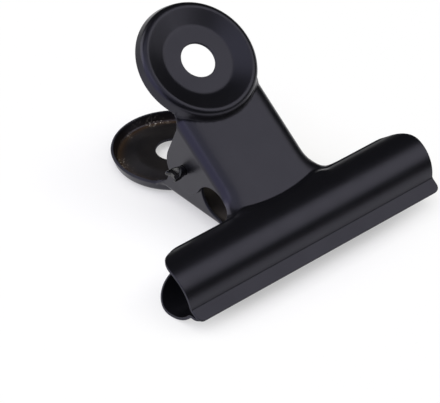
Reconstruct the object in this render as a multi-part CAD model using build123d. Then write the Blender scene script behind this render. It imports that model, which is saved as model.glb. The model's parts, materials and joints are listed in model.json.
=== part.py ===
from build123d import *
from math import acos, asin, atan2, ceil, cos, degrees, pi, radians, sin, sqrt, tan
import os

# A bulldog clip: two stamped steel plates crossed on a pinched pin, sprung shut, lying on its lower plate.
# Section frame: p runs from the lip tips back to the thumb discs in the plane where the lips meet,
# q stands square to that plane, positive on the upper plate, and X runs along the jaw. Millimetres, degrees.

# Sheet, lips and the rolled jaw
SHEET = 0.8
JAW_LENGTH = 75.0
LIP_DEPTH = 3.4
LIP_ANGLE = 14.0
LIP_GAP = 0.1
LIP_CORNER = 1.6
LOWER_LIP_SETBACK = 1.0
LOWER_END_SETBACK = 0.45
CREASE_RADIUS = 0.6
BARREL_RADIUS = 8.6
BARREL_CREST = 7.2
REAR_EDGE = 0.25
REAR_CORNER = 8.0
END_LEAN = 8.0

# Flat web of the handle, its folded sides and the flare into the jaw
WEB_ANGLE = 18.2
NECK_WIDTH = 25.8
FOLD_RADIUS = 2.4
UPPER_FOLD_DEPTH = 2.8
LOWER_FOLD_DEPTH = 1.9
FLARE_RADIUS = 5.5

# Hinge ears: the lower plate's pair stands inside the upper plate's pair
HINGE_REACH = 37.2
HINGE_TO_WEB = 10.5
UPPER_EAR_RADIUS = 6.3
LOWER_EAR_RADIUS = 5.7
EAR_FRONT_SWEEP = 6.0
EAR_REAR_LEAN = 12.5
EAR_REAR_SWEEP = 4.0
EAR_GAP = 0.1

# Pressed thumb disc with a beaded rim and a hanging hole
DISC_REACH = 19.8
DISC_DIAMETER = 31.0
HOLE_DIAMETER = 9.0
FLAT_DIAMETER = 17.6
FLAT_RISE = 1.15
BEAD_DIAMETER = 26.8
BEAD_RISE = 1.4
BEAD_RADIUS = 1.6
DISH_RADIUS = 2.0
SKIRT_DROP = 1.5

# Hinge pin, its ends pinched into fishtails
PIN_DIAMETER = 2.4
PIN_CLEARANCE = 0.05
PIN_END_PLAY = 1.3
TAIL_LENGTH = 2.9
TAIL_WIDTH = 3.8
TAIL_THICKNESS = 1.1
TAIL_CORNER = 0.35
TAIL_NOTCH = 2.0
TAIL_NOTCH_WIDTH = 3.0

# Torsion spring wound on the pin, a foot pressing on the inside of each web
SPRING_WIRE = 1.5
COIL_DIAMETER = 7.0
COIL_TURNS = 9
COIL_SIDE_GAP = 0.9
FOOT_REACH = 4.9
FOOT_LENGTH = 2.5
FOOT_BEND = 2.4
FOOT_GAP = 0.1

SECTION = Plane.YZ
HINGE = Vector(HINGE_REACH, 0)
WEB_ALONG = Vector(cos(radians(WEB_ANGLE)), sin(radians(WEB_ANGLE)))
WEB_OUT = Vector(-sin(radians(WEB_ANGLE)), cos(radians(WEB_ANGLE)))


def on_web(along, out):
    """Section point at a place along the web from opposite the pin, and out from its outer face."""
    return HINGE + WEB_ALONG * along + WEB_OUT * (HINGE_TO_WEB + out)


# Points of the side section that both plates share
LIP_TIP = Vector(0, LIP_GAP / 2 + SHEET * cos(radians(LIP_ANGLE)))
CREASE = LIP_TIP + Vector(LIP_DEPTH, LIP_DEPTH * tan(radians(LIP_ANGLE)))
BARREL_Q = BARREL_CREST - BARREL_RADIUS
BARREL = Vector(CREASE.X + sqrt(BARREL_RADIUS**2 - (CREASE.Y - BARREL_Q) ** 2), BARREL_Q)
CREST = Vector(BARREL.X, BARREL_CREST)
WEB_FOOT = on_web(0, 0) - BARREL
WEB_TO_BARREL = WEB_FOOT.dot(WEB_ALONG)
VALLEY_ALONG = sqrt(WEB_TO_BARREL**2 - WEB_FOOT.dot(WEB_FOOT) + BARREL_RADIUS**2) - WEB_TO_BARREL
VALLEY = on_web(VALLEY_ALONG, 0)
EDGE_ALONG = VALLEY_ALONG + REAR_EDGE
FLARE = FLARE_RADIUS + FOLD_RADIUS
FOLD_END = EDGE_ALONG + FLARE - sqrt(FLARE**2 - FLARE_RADIUS**2)

WEB_PLANE = Plane(
    origin=(0, on_web(0, 0).X, on_web(0, 0).Y),
    x_dir=(1, 0, 0),
    z_dir=(0, WEB_OUT.X, WEB_OUT.Y),
)


def pressed(outer_skin):
    """Face of the sheet in section, its thickness laid on the right of the outer skin."""
    return make_face(outer_skin.offset_2d(SHEET, side=Side.RIGHT))


def slab(face, low, high):
    """Solid of a section face between two places along the jaw."""
    return extrude(SECTION.offset(low) * face, amount=high - low)


def jaw_skin(setback, end_along):
    """Outer skin of the lip, the rolled barrel and the web, from the lip tip to a place along the web."""
    tip = LIP_TIP + (CREASE - LIP_TIP) * (setback / LIP_DEPTH)
    web = Line(VALLEY, on_web(end_along, 0))
    skin = Wire([Line(tip, CREASE), ThreePointArc(CREASE, CREST, VALLEY), web])
    return skin.fillet_2d(CREASE_RADIUS, [skin.vertices().sort_by_distance(CREASE)[0]])


def corner(radius, overrun):
    """What is cut off the corner at the origin of a sheet that lies in -X and -Y, rounding it."""
    block = Polygon(
        (-radius, -radius), (overrun, -radius), (overrun, overrun), (-radius, overrun), align=None
    )
    return block - Pos(-radius, -radius) * Circle(radius)


def jaw_end(half_length, height):
    """Where the jaw ends at a height over the plane of the lips: its ends lean outwards."""
    return half_length + height * tan(radians(END_LEAN))


def lip_corner_cut(half_length, setback):
    """Material that the rounded lip corner loses, on the +X end."""
    lost = Pos(jaw_end(half_length, LIP_TIP.Y), setback) * Rot(Z=-90) * corner(LIP_CORNER, SHEET)
    return extrude(lost, amount=CREASE.Y)


def rear_corner_cut(half_length):
    """Material that the rounded rear corner loses, on the +X end, cut square to its middle."""
    end = on_web(EDGE_ALONG, 0) - BARREL
    middle = atan2(end.Y, end.X) + REAR_CORNER / BARREL_RADIUS / 2
    edge = end.X * sin(middle) - end.Y * cos(middle)
    start_height = BARREL.Y + BARREL_RADIUS * sin(middle + asin((REAR_CORNER - edge) / BARREL_RADIUS))
    across = Plane(origin=(0, BARREL.X, BARREL.Y), x_dir=(1, 0, 0), z_dir=(0, cos(middle), sin(middle)))
    lost = Pos(jaw_end(half_length, start_height), edge) * corner(REAR_CORNER, REAR_CORNER)
    return extrude(across * lost, amount=2 * BARREL_RADIUS)


def jaw_side(half_width, half_length, setback):
    """Jaw beside the handle on the +X side, with its leaning end and rounded corners."""
    blank = slab(pressed(jaw_skin(setback, EDGE_ALONG)), half_width, jaw_end(half_length, 2 * BARREL_CREST))
    lean = Plane(origin=(half_length, 0, 0), x_dir=(0, 1, 0), z_dir=Vector(1, 0, 0).rotate(Axis.Y, END_LEAN))
    side = split(blank, bisect_by=lean, keep=Keep.BOTTOM)
    return side - lip_corner_cut(half_length, setback) - rear_corner_cut(half_length)


def flare(half_width):
    """Flat sheet that widens from the neck to the rear edge of the jaw."""
    tip = half_width - FOLD_RADIUS + FLARE
    depth = REAR_EDGE + FLARE
    block = Pos(0, VALLEY_ALONG) * Rectangle(2 * tip, depth, align=(Align.CENTER, Align.MIN))
    for side in (-1, 1):
        block -= Pos(side * tip, VALLEY_ALONG + depth) * Circle(FLARE)
    return extrude(WEB_PLANE * block, amount=-SHEET)


def ear_side(radius, fold_depth):
    """Side view of the web band with its ear: front sweep, round lobe about the pin, rear sweep."""
    reach = radius + EAR_FRONT_SWEEP
    sweep_out = HINGE_TO_WEB - fold_depth - EAR_FRONT_SWEEP
    sweep_along = -sqrt(reach**2 - sweep_out**2)
    sweep = HINGE + WEB_ALONG * sweep_along + WEB_OUT * sweep_out
    sweep_top = sweep + WEB_OUT * EAR_FRONT_SWEEP
    to_pin = (HINGE - sweep) * (1 / reach)
    halfway = ((sweep_top - sweep) * (1 / EAR_FRONT_SWEEP) + to_pin).normalized()
    lobe_front = sweep + to_pin * EAR_FRONT_SWEEP
    lobe_bottom = HINGE - Vector(0, radius)
    lean = radians(EAR_REAR_LEAN)
    lobe_rear = HINGE + (WEB_ALONG * cos(lean) - WEB_OUT * sin(lean)) * radius
    rear_top = on_web(radius / cos(lean) + (HINGE_TO_WEB - SHEET) * tan(lean), -SHEET)
    outline = Wire(
        [
            Line(on_web(FOLD_END, -SHEET), sweep_top),
            ThreePointArc(sweep_top, sweep + halfway * EAR_FRONT_SWEEP, lobe_front),
            ThreePointArc(lobe_front, lobe_bottom, lobe_rear),
            Line(lobe_rear, rear_top),
            Line(rear_top, on_web(DISC_REACH, -SHEET)),
            Line(on_web(DISC_REACH, -SHEET), on_web(DISC_REACH, SHEET)),
            Line(on_web(DISC_REACH, SHEET), on_web(FOLD_END, SHEET)),
            Line(on_web(FOLD_END, SHEET), on_web(FOLD_END, -SHEET)),
        ]
    )
    face = make_face(outline)
    return fillet(face.vertices().sort_by_distance(rear_top)[0], EAR_REAR_SWEEP)


def neck(half_width, ear):
    """Web with folded sides, cut to the ears' outline."""
    depth = 3 * HINGE_TO_WEB
    skin = FilletPolyline(
        (-half_width, -depth), (-half_width, 0), (half_width, 0), (half_width, -depth), radius=FOLD_RADIUS
    )
    across = Plane(origin=WEB_PLANE.origin, x_dir=(1, 0, 0), z_dir=-WEB_PLANE.y_dir)
    section = across.offset(-DISC_REACH) * pressed(Wire(skin.edges()))
    channel = extrude(section, amount=DISC_REACH - VALLEY_ALONG)
    return channel & slab(ear, -half_width, half_width)


def graze(point, centre, radius, turn):
    """Where a line from an outside point touches a circle, on the side that the sign of turn gives."""
    away = point - centre
    angle = atan2(away.Y, away.X) + turn * acos(radius / away.length)
    return centre + Vector(cos(angle), sin(angle)) * radius


def disc_face():
    """Half section of the thumb disc: radius and height above the flat centre's outer face."""
    bead = Vector(BEAD_DIAMETER / 2, BEAD_RISE - BEAD_RADIUS)
    flat = Vector(FLAT_DIAMETER / 2, 0)
    rim = Vector(DISC_DIAMETER / 2, -SKIRT_DROP)
    rise = graze(flat, bead, BEAD_RADIUS, -1)
    fall = graze(rim, bead, BEAD_RADIUS, 1)
    skin = Wire(
        [
            Line((HOLE_DIAMETER / 2, 0), flat),
            Line(flat, rise),
            ThreePointArc(rise, bead + Vector(0, BEAD_RADIUS), fall),
            Line(fall, rim),
        ]
    )
    return pressed(skin.fillet_2d(DISH_RADIUS, [skin.vertices().sort_by_distance(flat)[0]]))


def disc():
    """Pressed thumb disc, standing on the web's plane."""
    turned = revolve(Plane.XZ * disc_face(), axis=Axis.Z)
    return WEB_PLANE * Pos(0, DISC_REACH, FLAT_RISE) * turned


def plate(half_width, half_length, setback, ear):
    """One stamped plate, as the upper one stands, from its half width, half jaw, lip setback and ear."""
    straight = half_width - FOLD_RADIUS
    solid = slab(pressed(jaw_skin(setback, DISC_REACH)), -straight, straight)
    side = jaw_side(straight, half_length, setback)
    solid += side
    solid += mirror(side, about=Plane.YZ)
    solid += flare(half_width)
    solid += neck(half_width, ear)
    clear = Cylinder(DISC_DIAMETER / 2 - SHEET, 2 * HINGE_TO_WEB)
    solid -= WEB_PLANE * Pos(0, DISC_REACH, 0) * clear
    solid += disc()
    pin_hole = Cylinder(PIN_DIAMETER / 2 + PIN_CLEARANCE, 2 * half_width + 2 * SHEET)
    solid -= Pos(0, HINGE.X, HINGE.Y) * Rot(Y=90) * pin_hole
    return solid


def pin_tail():
    """Pinched end of the pin, from the round wire to a notched fishtail, along +Z."""
    root = TAIL_LENGTH - TAIL_NOTCH
    flat_end = Pos(0, 0, root) * RectangleRounded(TAIL_WIDTH, TAIL_THICKNESS, TAIL_CORNER)
    tail = loft([Circle(PIN_DIAMETER / 2), flat_end])
    tail += extrude(flat_end, amount=TAIL_NOTCH)
    mouth = TAIL_NOTCH_WIDTH / 2
    notch = Polygon((-mouth, TAIL_LENGTH), (0, root), (mouth, TAIL_LENGTH), align=None)
    return tail - extrude(Plane.XZ * notch, amount=TAIL_WIDTH, both=True)


def hinge_pin():
    """Wire pin through the four ears, pinched at both ends."""
    shank = NECK_WIDTH + 2 * PIN_END_PLAY
    along = Plane(origin=(0, HINGE.X, HINGE.Y), x_dir=(0, 1, 0), z_dir=(1, 0, 0))
    solid = along * Cylinder(PIN_DIAMETER / 2, shank)
    tail = along * Pos(0, 0, shank / 2) * pin_tail()
    return solid + tail + mirror(tail, about=Plane.YZ)


def biarc(start, start_way, end, end_way):
    """Two tangent arcs that leave one point and reach another in given directions."""
    gap = end - start
    both = start_way + end_way
    square = 2 - 2 * start_way.dot(end_way)
    linear = gap.dot(both)
    reach = (sqrt(linear**2 + square * gap.dot(gap)) - linear) / square
    near = start + start_way * reach
    far = end - end_way * reach
    joint = (near + far) / 2
    return [Edge.make_tangent_arc(start, start_way, joint), Edge.make_tangent_arc(joint, far - near, end)]


def spring_leg():
    """Upper leg in the section plane: where it leaves the coil, its bend and the end of its foot."""
    coil = COIL_DIAMETER / 2
    foot_out = HINGE_TO_WEB - SHEET - FOOT_GAP - SPRING_WIRE / 2
    bend = WEB_ALONG * FOOT_REACH + WEB_OUT * foot_out
    leave = atan2(bend.Y, bend.X) + acos(coil / bend.length)
    return leave, bend, bend + WEB_ALONG * FOOT_LENGTH


def spring_path(ear_inside):
    """Centre line of the spring: lower foot and leg, the turns, upper leg and foot."""
    coil = COIL_DIAMETER / 2
    side = ear_inside - COIL_SIDE_GAP - SPRING_WIRE / 2
    leave, bend, foot = spring_leg()
    turned = 2 * pi * COIL_TURNS + 2 * (pi - leave)
    steps = ceil(turned / pi)
    climb = 2 * side / turned
    points = []
    ways = []
    for step in range(steps + 1):
        angle = 2 * pi - leave - turned * step / steps
        rise = climb if 0 < step < steps else 0
        points.append(Vector(-side + 2 * side * step / steps, coil * cos(angle), coil * sin(angle)))
        ways.append(Vector(rise, coil * sin(angle), -coil * cos(angle)).normalized())
    turns = []
    for step in range(steps):
        turns += biarc(points[step], ways[step], points[step + 1], ways[step + 1])
    low = FilletPolyline(
        (-side, foot.X, -foot.Y), (-side, bend.X, -bend.Y), points[0], radius=FOOT_BEND
    )
    high = FilletPolyline(points[-1], (side, bend.X, bend.Y), (side, foot.X, foot.Y), radius=FOOT_BEND)
    path = Wire(low.edges() + turns + high.edges())
    return path.moved(Location((0, HINGE.X, HINGE.Y)))


def least_gap(path):
    """Least clear distance between turns, measured on points along the centre line."""
    around = pi * COIL_DIAMETER
    count = ceil(path.length)
    points = [path @ (place / count) for place in range(count + 1)]
    apart = ceil(around / 2 * count / path.length)
    nearest = min(
        (points[first] - points[second]).length
        for first in range(count + 1)
        for second in range(first + apart, count + 1)
    )
    return nearest - SPRING_WIRE


def torsion_spring(ear_inside):
    """Wound spring as one unbroken wire."""
    path = spring_path(ear_inside)
    print("spring: least gap between turns", round(least_gap(path), 3), "mm")
    start = Plane(origin=path @ 0, z_dir=path % 0)
    return sweep(start * Circle(SPRING_WIRE / 2), path=path)


def lying_tilt():
    """Turn about X that lays the lower barrel and the rear of the lower disc's bead on one level."""
    barrel = Vector(BARREL.X, -BARREL.Y)
    bead = on_web(DISC_REACH + BEAD_DIAMETER / 2, FLAT_RISE + BEAD_RISE - BEAD_RADIUS)
    span = Vector(bead.X, -bead.Y) - barrel
    return -degrees(atan2(span.Y, span.X) + asin((BARREL_RADIUS - BEAD_RADIUS) / span.length))


def main():
    """Builds every piece, lays the clip down and writes one file for each piece."""
    upper_half = NECK_WIDTH / 2
    lower_half = upper_half - SHEET - EAR_GAP
    half_jaw = JAW_LENGTH / 2
    upper_ear = ear_side(UPPER_EAR_RADIUS, UPPER_FOLD_DEPTH)
    lower_ear = ear_side(LOWER_EAR_RADIUS, LOWER_FOLD_DEPTH)
    lower_plate = plate(lower_half, half_jaw - LOWER_END_SETBACK, LOWER_LIP_SETBACK, lower_ear)
    pieces = {
        "upper_plate": plate(upper_half, half_jaw, 0, upper_ear),
        "lower_plate": mirror(lower_plate, about=Plane.XY),
        "hinge_pin": hinge_pin(),
        "torsion_spring": torsion_spring(lower_half - SHEET),
    }
    tilt = Rot(X=lying_tilt())
    lying = {name: tilt * piece for name, piece in pieces.items()}
    boxes = [piece.bounding_box() for piece in lying.values()]
    front = min(box.min.Y for box in boxes)
    rear = max(box.max.Y for box in boxes)
    floor = min(box.min.Z for box in boxes)
    top = max(box.max.Z for box in boxes)
    stand = Pos(0, -(front + rear) / 2, -floor)
    os.makedirs("parts", exist_ok=True)
    for name, piece in lying.items():
        export_step(stand * piece, f"parts/{name}.step")
    hinge = stand * tilt * Pos(0, HINGE.X, HINGE.Y)
    print("tilt", round(lying_tilt(), 3), "degrees")
    print("depth", round(rear - front, 2), "height", round(top - floor, 2))
    print("hinge axis at", hinge.position)


main()
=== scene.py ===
"""Looks of a bulldog clip: enamelled plates pressed from flat blanks, a pinched pin and a wound spring."""

import json
from math import acos, asin, atan2, ceil, cos, pi, radians, sin, sqrt, tan

import bpy
import numpy as np
from mathutils import Matrix, Vector
from mathutils.geometry import delaunay_2d_cdt
from mathutils.kdtree import KDTree


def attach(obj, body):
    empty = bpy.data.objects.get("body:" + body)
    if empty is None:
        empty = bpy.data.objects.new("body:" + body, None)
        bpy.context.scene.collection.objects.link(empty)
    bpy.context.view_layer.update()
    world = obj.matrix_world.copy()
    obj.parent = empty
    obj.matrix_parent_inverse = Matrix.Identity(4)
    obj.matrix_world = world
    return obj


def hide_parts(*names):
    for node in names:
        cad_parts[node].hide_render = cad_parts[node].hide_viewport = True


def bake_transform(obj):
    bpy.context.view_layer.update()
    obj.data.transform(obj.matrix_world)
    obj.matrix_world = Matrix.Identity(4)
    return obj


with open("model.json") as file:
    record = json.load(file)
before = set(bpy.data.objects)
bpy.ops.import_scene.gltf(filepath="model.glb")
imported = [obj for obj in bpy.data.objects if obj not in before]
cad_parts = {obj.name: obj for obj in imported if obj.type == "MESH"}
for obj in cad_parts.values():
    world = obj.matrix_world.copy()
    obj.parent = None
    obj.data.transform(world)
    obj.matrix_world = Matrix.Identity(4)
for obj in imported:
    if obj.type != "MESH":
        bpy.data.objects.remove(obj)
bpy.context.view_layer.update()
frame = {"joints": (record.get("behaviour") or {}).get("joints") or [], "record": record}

bl_info = {
    "name": "Bulldog clip",
    "version": (1, 0, 0),
    "blender": (4, 5, 0),
    "location": "View3D > Sidebar > Clip",
    "description": "Enamelled plates, pinched pin, wound spring and stage of a bulldog clip",
    "category": "Object",
}

MM = 0.001
PHOTO_WIDTH = 440
SENSOR = 36.0

# The pin's centre and the two hanging holes, which give each plate its place and lean
PIN = Vector(frame["joints"][0]["pos_m"])
HOLES = {mount["name"]: mount for mount in frame["record"]["mounts"] if mount["kind"] == "bore"}
HOLE_RADIUS = HOLES["upper_hanging_hole"]["dims"]["r_mm"] * MM
ACROSS = Vector((1, 0, 0))

# How finely the sheet is meshed: shares of the mesh step at the cut edges and between them
EDGE_STEP = 0.6
EDGE_CLEARANCE = 0.3
HOLE_FINENESS = 1.6
BEND_SAMPLES = 24
# Shares of the flare's radius, counted from its end, over which the fold and the rear edge let go
FOLD_RELEASE = 0.4
EDGE_RELEASE = (1.3, 0.2)
# Where the ear's rear edge runs out on the disc's rim, counted from the disc's far end
RIM_START = radians(122)
# Painted reflection inside the dished disc, as a share of the inside colour on the web
DISC_PAINTED_REFLECTION = 0.12
PIN_SIDES = 32
PIN_SHARP_ANGLE = radians(40)
COIL_STEPS = 28
WIRE_SIDES = 16
FLOOR_HALF = 2.0


def length(name, description, millimetres):
    """A size that a user may change, kept in metres."""
    return bpy.props.FloatProperty(
        name=name, description=description, default=millimetres * MM, unit="LENGTH", precision=5
    )


def angle(name, description, degrees):
    """An angle that a user may change, kept in radians."""
    return bpy.props.FloatProperty(
        name=name, description=description, default=radians(degrees), subtype="ANGLE"
    )


def share(name, description, default):
    """A plain number that a user may change."""
    return bpy.props.FloatProperty(name=name, description=description, default=default, precision=3)


def colour(name, description, code):
    """A colour that a user may change, as an sRGB hex value."""
    return bpy.props.StringProperty(name=name, description=f"{description}, as sRGB hex", default=code)


class ClipPlateSizes(bpy.types.PropertyGroup):
    """Sizes of the two pressed plates."""

    sheet: length("Sheet", "Thickness of the steel sheet", 0.8)
    edge_round: length("Edge rounding", "Radius that paint and stamping leave on the cut edges", 0.16)
    jaw_length: length("Jaw length", "Length of the jaw at the lips", 75)
    lip_depth: length("Lip depth", "From the lip's tip back to the crease", 3.4)
    lip_angle: angle("Lip angle", "Rise of the flat lip", 14)
    lip_gap: length("Lip gap", "Gap between the two shut lips", 0.1)
    lip_corner: length("Lip corner", "Radius of the lip's corners", 1.6)
    lip_setback: length("Lower lip setback", "How far the lower lip stops short", 1.0)
    end_setback: length("Lower end setback", "How far each end of the lower jaw stops short", 0.45)
    crease_radius: length("Crease radius", "Rounding of the crease between lip and barrel", 0.6)
    barrel_radius: length("Barrel radius", "Radius of the rolled jaw", 8.6)
    barrel_crest: length("Barrel crest", "Height of the rolled jaw over the lips' plane", 7.2)
    valley_radius: length("Valley radius", "Rounding of the valley between barrel and web", 0.7)
    valley_bow: length("Valley bow", "Radius by which the valley bows back towards the folds", 42)
    valley_lead: length("Valley lead", "How far the bowed valley runs forward in the middle", 0.42)
    bow_end: length("Bow end", "Where the bow starts to run out, from the middle", 9.5)
    bow_fade: length("Bow fade", "Width over which the bow runs out into the flare", 5.5)
    bow_reach: length("Bow reach", "How far up the barrel's rear slope the bow is felt", 3)
    rear_edge: length("Rear edge", "Flat left behind the valley", 0.45)
    upper_rear_corner: length("Upper rear corner", "Radius of the upper jaw's rear corners", 7.2)
    lower_rear_corner: length("Lower rear corner", "Radius of the lower jaw's rear corners", 9.5)
    end_lean: angle("End lean", "How far the jaw's ends lean outwards", 8)
    hinge_reach: length("Hinge reach", "From the lip's tip back to the pin", 37.2)
    neck_width: length("Neck width", "Width over the upper plate's ears", 25.8)
    ear_gap: length("Ear gap", "Gap between an upper ear and a lower ear", 0.1)
    upper_fold: length("Upper fold", "Sheet in an upper fold, which tightens towards the ear", 7)
    lower_fold: length("Lower fold", "Sheet in a lower fold, which tightens towards the ear", 3.2)
    fold_lead: length("Fold lead", "How far ahead of the jaw's rear edge the fold begins", 0.1)
    fold_run: length("Fold run", "Length over which the fold closes to a right angle", 7)
    flare_radius: length("Flare radius", "Radius of the cut edge's turn from neck to jaw", 3.25)
    upper_fold_depth: length("Upper fold depth", "Depth of the upper plate's fold ahead of its ears", 2.8)
    lower_fold_depth: length("Lower fold depth", "Depth of the lower plate's fold ahead of its ears", 1.9)
    upper_ear: length("Upper ear radius", "Radius of the upper ears' lobes about the pin", 6.3)
    lower_ear: length("Lower ear radius", "Radius of the lower ears' lobes about the pin", 5.7)
    ear_front_sweep: length("Ear front sweep", "Radius of the ear's hollow front edge", 6)
    ear_rear_lean: angle("Ear rear lean", "Lean of the ear's rear edge", 12.5)
    ear_rear_depth: length("Ear rear depth", "Depth at which the ear's rear edge turns to the disc", 4)
    ear_rear_sweep: length("Ear rear sweep", "How widely the ear's rear edge turns to the disc", 1.7)
    pin_hole_radius: length("Pin hole radius", "Radius of the holes in the ears", 1.25)
    mesh_step: length("Mesh step", "Spacing of the mesh over the sheet", 0.7)


class ClipDiscSizes(bpy.types.PropertyGroup):
    """Sizes of the pressed thumb discs."""

    radius: length("Radius", "Outer radius of the disc", 15.5)
    flat_radius: length("Flat radius", "Radius of the flat centre", 8.8)
    flat_rise: length("Flat rise", "Height of the flat centre over the web", 1.15)
    bead_centre: length("Bead centre", "Radius at which the bead stands", 13.4)
    bead_rise: length("Bead rise", "Height of the bead over the flat centre", 1.4)
    bead_radius: length("Bead radius", "Radius of the bead's outer skin", 1.6)
    dish_radius: length("Dish radius", "Rounding from the flat centre to the bead", 3.2)
    skirt_drop: length("Skirt drop", "Drop of the rim below the flat centre", 1.5)
    foot_blend: length("Foot blend", "Rounding of the bead's foot on the web", 0.5)
    hole_paint: length("Hole paint", "Enamel that has gathered round the edge of the hanging hole", 0.1)


class ClipPinSizes(bpy.types.PropertyGroup):
    """Sizes of the hinge pin."""

    radius: length("Radius", "Radius of the wire", 1.2)
    end_play: length("End play", "Gap between an ear and the pinched end", 0.9)
    swell: length("Swell", "How far the wire swells beside a pinched end", 0.2)
    tail_turn: angle("Tail turn", "How far the pin has turned in its holes", 12)
    tail_length: length("Tail length", "Length of a pinched end", 3.2)
    tail_width: length("Tail width", "Width of a pinched end", 3.8)
    tail_thickness: length("Tail thickness", "Thickness of a pinched end", 1.1)
    notch_depth: length("Notch depth", "Depth of the nick in a pinched end", 1.3)
    notch_width: length("Notch width", "Width of the nick in a pinched end", 3.0)


class ClipSpringSizes(bpy.types.PropertyGroup):
    """Sizes of the torsion spring."""

    wire: length("Wire", "Diameter of the spring wire", 1.5)
    coil_radius: length("Coil radius", "Radius of the coil at the wire's middle", 3.5)
    turns: bpy.props.IntProperty(name="Turns", description="Whole turns of the coil", default=9)
    side_gap: length("Side gap", "Gap between the coil and each ear", 0.9)
    foot_reach: length("Foot reach", "Where the foot starts along the web", 4.9)
    foot_length: length("Foot length", "Length of the foot on the web", 2.5)
    foot_bend: length("Foot bend", "Radius of the bend from leg to foot", 2.4)
    foot_gap: length("Foot gap", "Gap between the foot and the web", 0.4)


class ClipFinish(bpy.types.PropertyGroup):
    """Colours of the finishes."""

    enamel: colour("Enamel", "Black enamel of the plates", "#0d0d0f")
    thin_enamel: colour("Thin enamel", "Enamel that has pulled thin on cut edges", "#2c2c31")
    sheen: colour("Sheen", "Violet tint of the enamel's sheen", "#ebe8ff")
    groove: colour("Groove", "Brownish thin enamel inside the beads", "#3a2d20")
    # Pale flecks scattered in clusters over the bead grooves
    pale_fleck: colour("Dust", "Specks of dust in the grooves", "#c9c2b4")
    pin: colour("Pin", "Black enamel of the pin", "#0a0a0b")
    # Inside the dished discs, a small share of this colour is painted reflection
    inside: colour("Inside", "Dusty brownish enamel inside the plates", "#5e584f")
    spring: colour("Spring", "Drawn spring steel", "#7d7a76")
    spring_oil: colour("Spring oil", "Oil and dirt on the spring", "#3d3833")
    floor: colour("Floor", "Pale floor", "#fffef8")
    glow: colour("Floor glow", "White that the floor shows to the eye and in gloss", "#ffffff")


class ClipStage(bpy.types.PropertyGroup):
    """Camera of the stage, fitted to the photograph's view."""

    azimuth: angle("Azimuth", "Camera's turn about the clip", -40.67)
    elevation: angle("Elevation", "Camera's height over the horizon", 39.07)
    roll: angle("Roll", "Camera's turn about its own axis", 0.63)
    distance: length("Distance", "From the camera to its aim", 602.5)
    aim: bpy.props.FloatVectorProperty(
        name="Aim", description="Point that the camera looks at", subtype="XYZ", unit="LENGTH",
        default=(-7.27 * MM, -6.35 * MM, 6.23 * MM),
    )
    focal_pixels: share("Focal length", "Focal length in pixels of the photograph", 2534)


def add(tree, kind, inputs=None, **settings):
    """Adds a node with its settings, and gives each named input a value or a link from another socket."""
    node = tree.nodes.new(kind)
    for name, value in settings.items():
        setattr(node, name, value)
    for name, value in (inputs or {}).items():
        if isinstance(value, bpy.types.NodeSocket):
            tree.links.new(value, node.inputs[name])
        else:
            node.inputs[name].default_value = value
    return node


def linear(code):
    """Linear colour of an sRGB hex value."""
    parts = [int(code[place:place + 2], 16) / 255 for place in (1, 3, 5)]
    return [part / 12.92 if part <= 0.04045 else ((part + 0.055) / 1.055) ** 2.4 for part in parts] + [1]


def smooth_step(low, high, value):
    """Share of the way from low to high, eased at both ends."""
    place = np.clip((value - low) / (high - low), 0, 1)
    return place * place * (3 - 2 * place)


def arc(centre, start, end, step):
    """Points of the shorter arc about a centre, both ends included."""
    first = atan2(start.y - centre.y, start.x - centre.x)
    turn = (atan2(end.y - centre.y, end.x - centre.x) - first + pi) % (2 * pi) - pi
    radius = (start - centre).length
    count = max(2, ceil(abs(turn) * radius / step))
    angles = [first + turn * place / count for place in range(count + 1)]
    return [centre + Vector((cos(way), sin(way))) * radius for way in angles]


def nestle(point, way, centre, radius, fillet, end):
    """Circle that rounds the corner of a line and a circle: its centre and its two points of touch."""
    square = Vector((-way.y, way.x))
    base = point + square * fillet - centre
    along = base.dot(way)
    place = -along + end * sqrt(along**2 - base.length_squared + (radius + fillet) ** 2)
    middle = centre + base + way * place
    return middle, middle - square * fillet, centre + (middle - centre) * (radius / (radius + fillet))


def graze(point, centre, radius, turn):
    """Where a line from an outside point touches a circle, on the side that the sign of turn gives."""
    away = point - centre
    way = atan2(away.y, away.x) + turn * acos(radius / away.length)
    return centre + Vector((cos(way), sin(way))) * radius


def ease(start, start_way, end, end_way, reach, count):
    """Points of a curve that leaves one point and reaches another in given directions."""
    hold = [start, start + start_way.normalized() * reach, end - end_way.normalized() * reach, end]
    places = np.linspace(0, 1, count)[:, None]
    weights = [(1 - places) ** 3, 3 * places * (1 - places) ** 2, 3 * places**2 * (1 - places), places**3]
    return sum(weight * np.array(point) for weight, point in zip(weights, hold))


def span(first, last, step):
    """Evenly spaced numbers from first to last, no further apart than step."""
    return np.linspace(first, last, max(2, ceil(abs(last - first) / step) + 1))


def inside_loop(points, loop):
    """Which points lie inside a closed loop, by counting the edges to their right."""
    ahead = np.roll(loop, -1, axis=0)
    rise = np.where(ahead[:, 1] == loop[:, 1], 1, ahead[:, 1] - loop[:, 1])
    found = np.zeros(len(points), bool)
    for place, (x, y) in enumerate(points):
        crossed = (loop[:, 1] > y) != (ahead[:, 1] > y)
        edge = loop[:, 0] + (y - loop[:, 1]) / rise * (ahead[:, 0] - loop[:, 0])
        found[place] = np.count_nonzero(crossed & (edge > x)) % 2 == 1
    return found


class Seat:
    """Where a plate sits: along its web from the pin to the disc, and out of its web's outer face."""

    def __init__(self, hole, sizes, disc):
        self.out = Vector(hole["axis"])
        reach = Vector(hole["pos_m"]) - PIN
        self.along = (reach - self.out * reach.dot(self.out)).normalized()
        self.disc_reach = reach.dot(self.along)
        self.web_height = reach.dot(self.out) + sizes.sheet / 2 - disc.flat_rise

    def placed(self, points):
        """Points given across, along and out from the pin, in the row frame."""
        axes = np.array([ACROSS, self.along, self.out])
        return np.asarray(points) @ axes + np.array(PIN)


def web_lean(upper, lower):
    """Angle of each web to the plane where the lips meet."""
    return acos(-upper.out.dot(lower.out)) / 2


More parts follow.
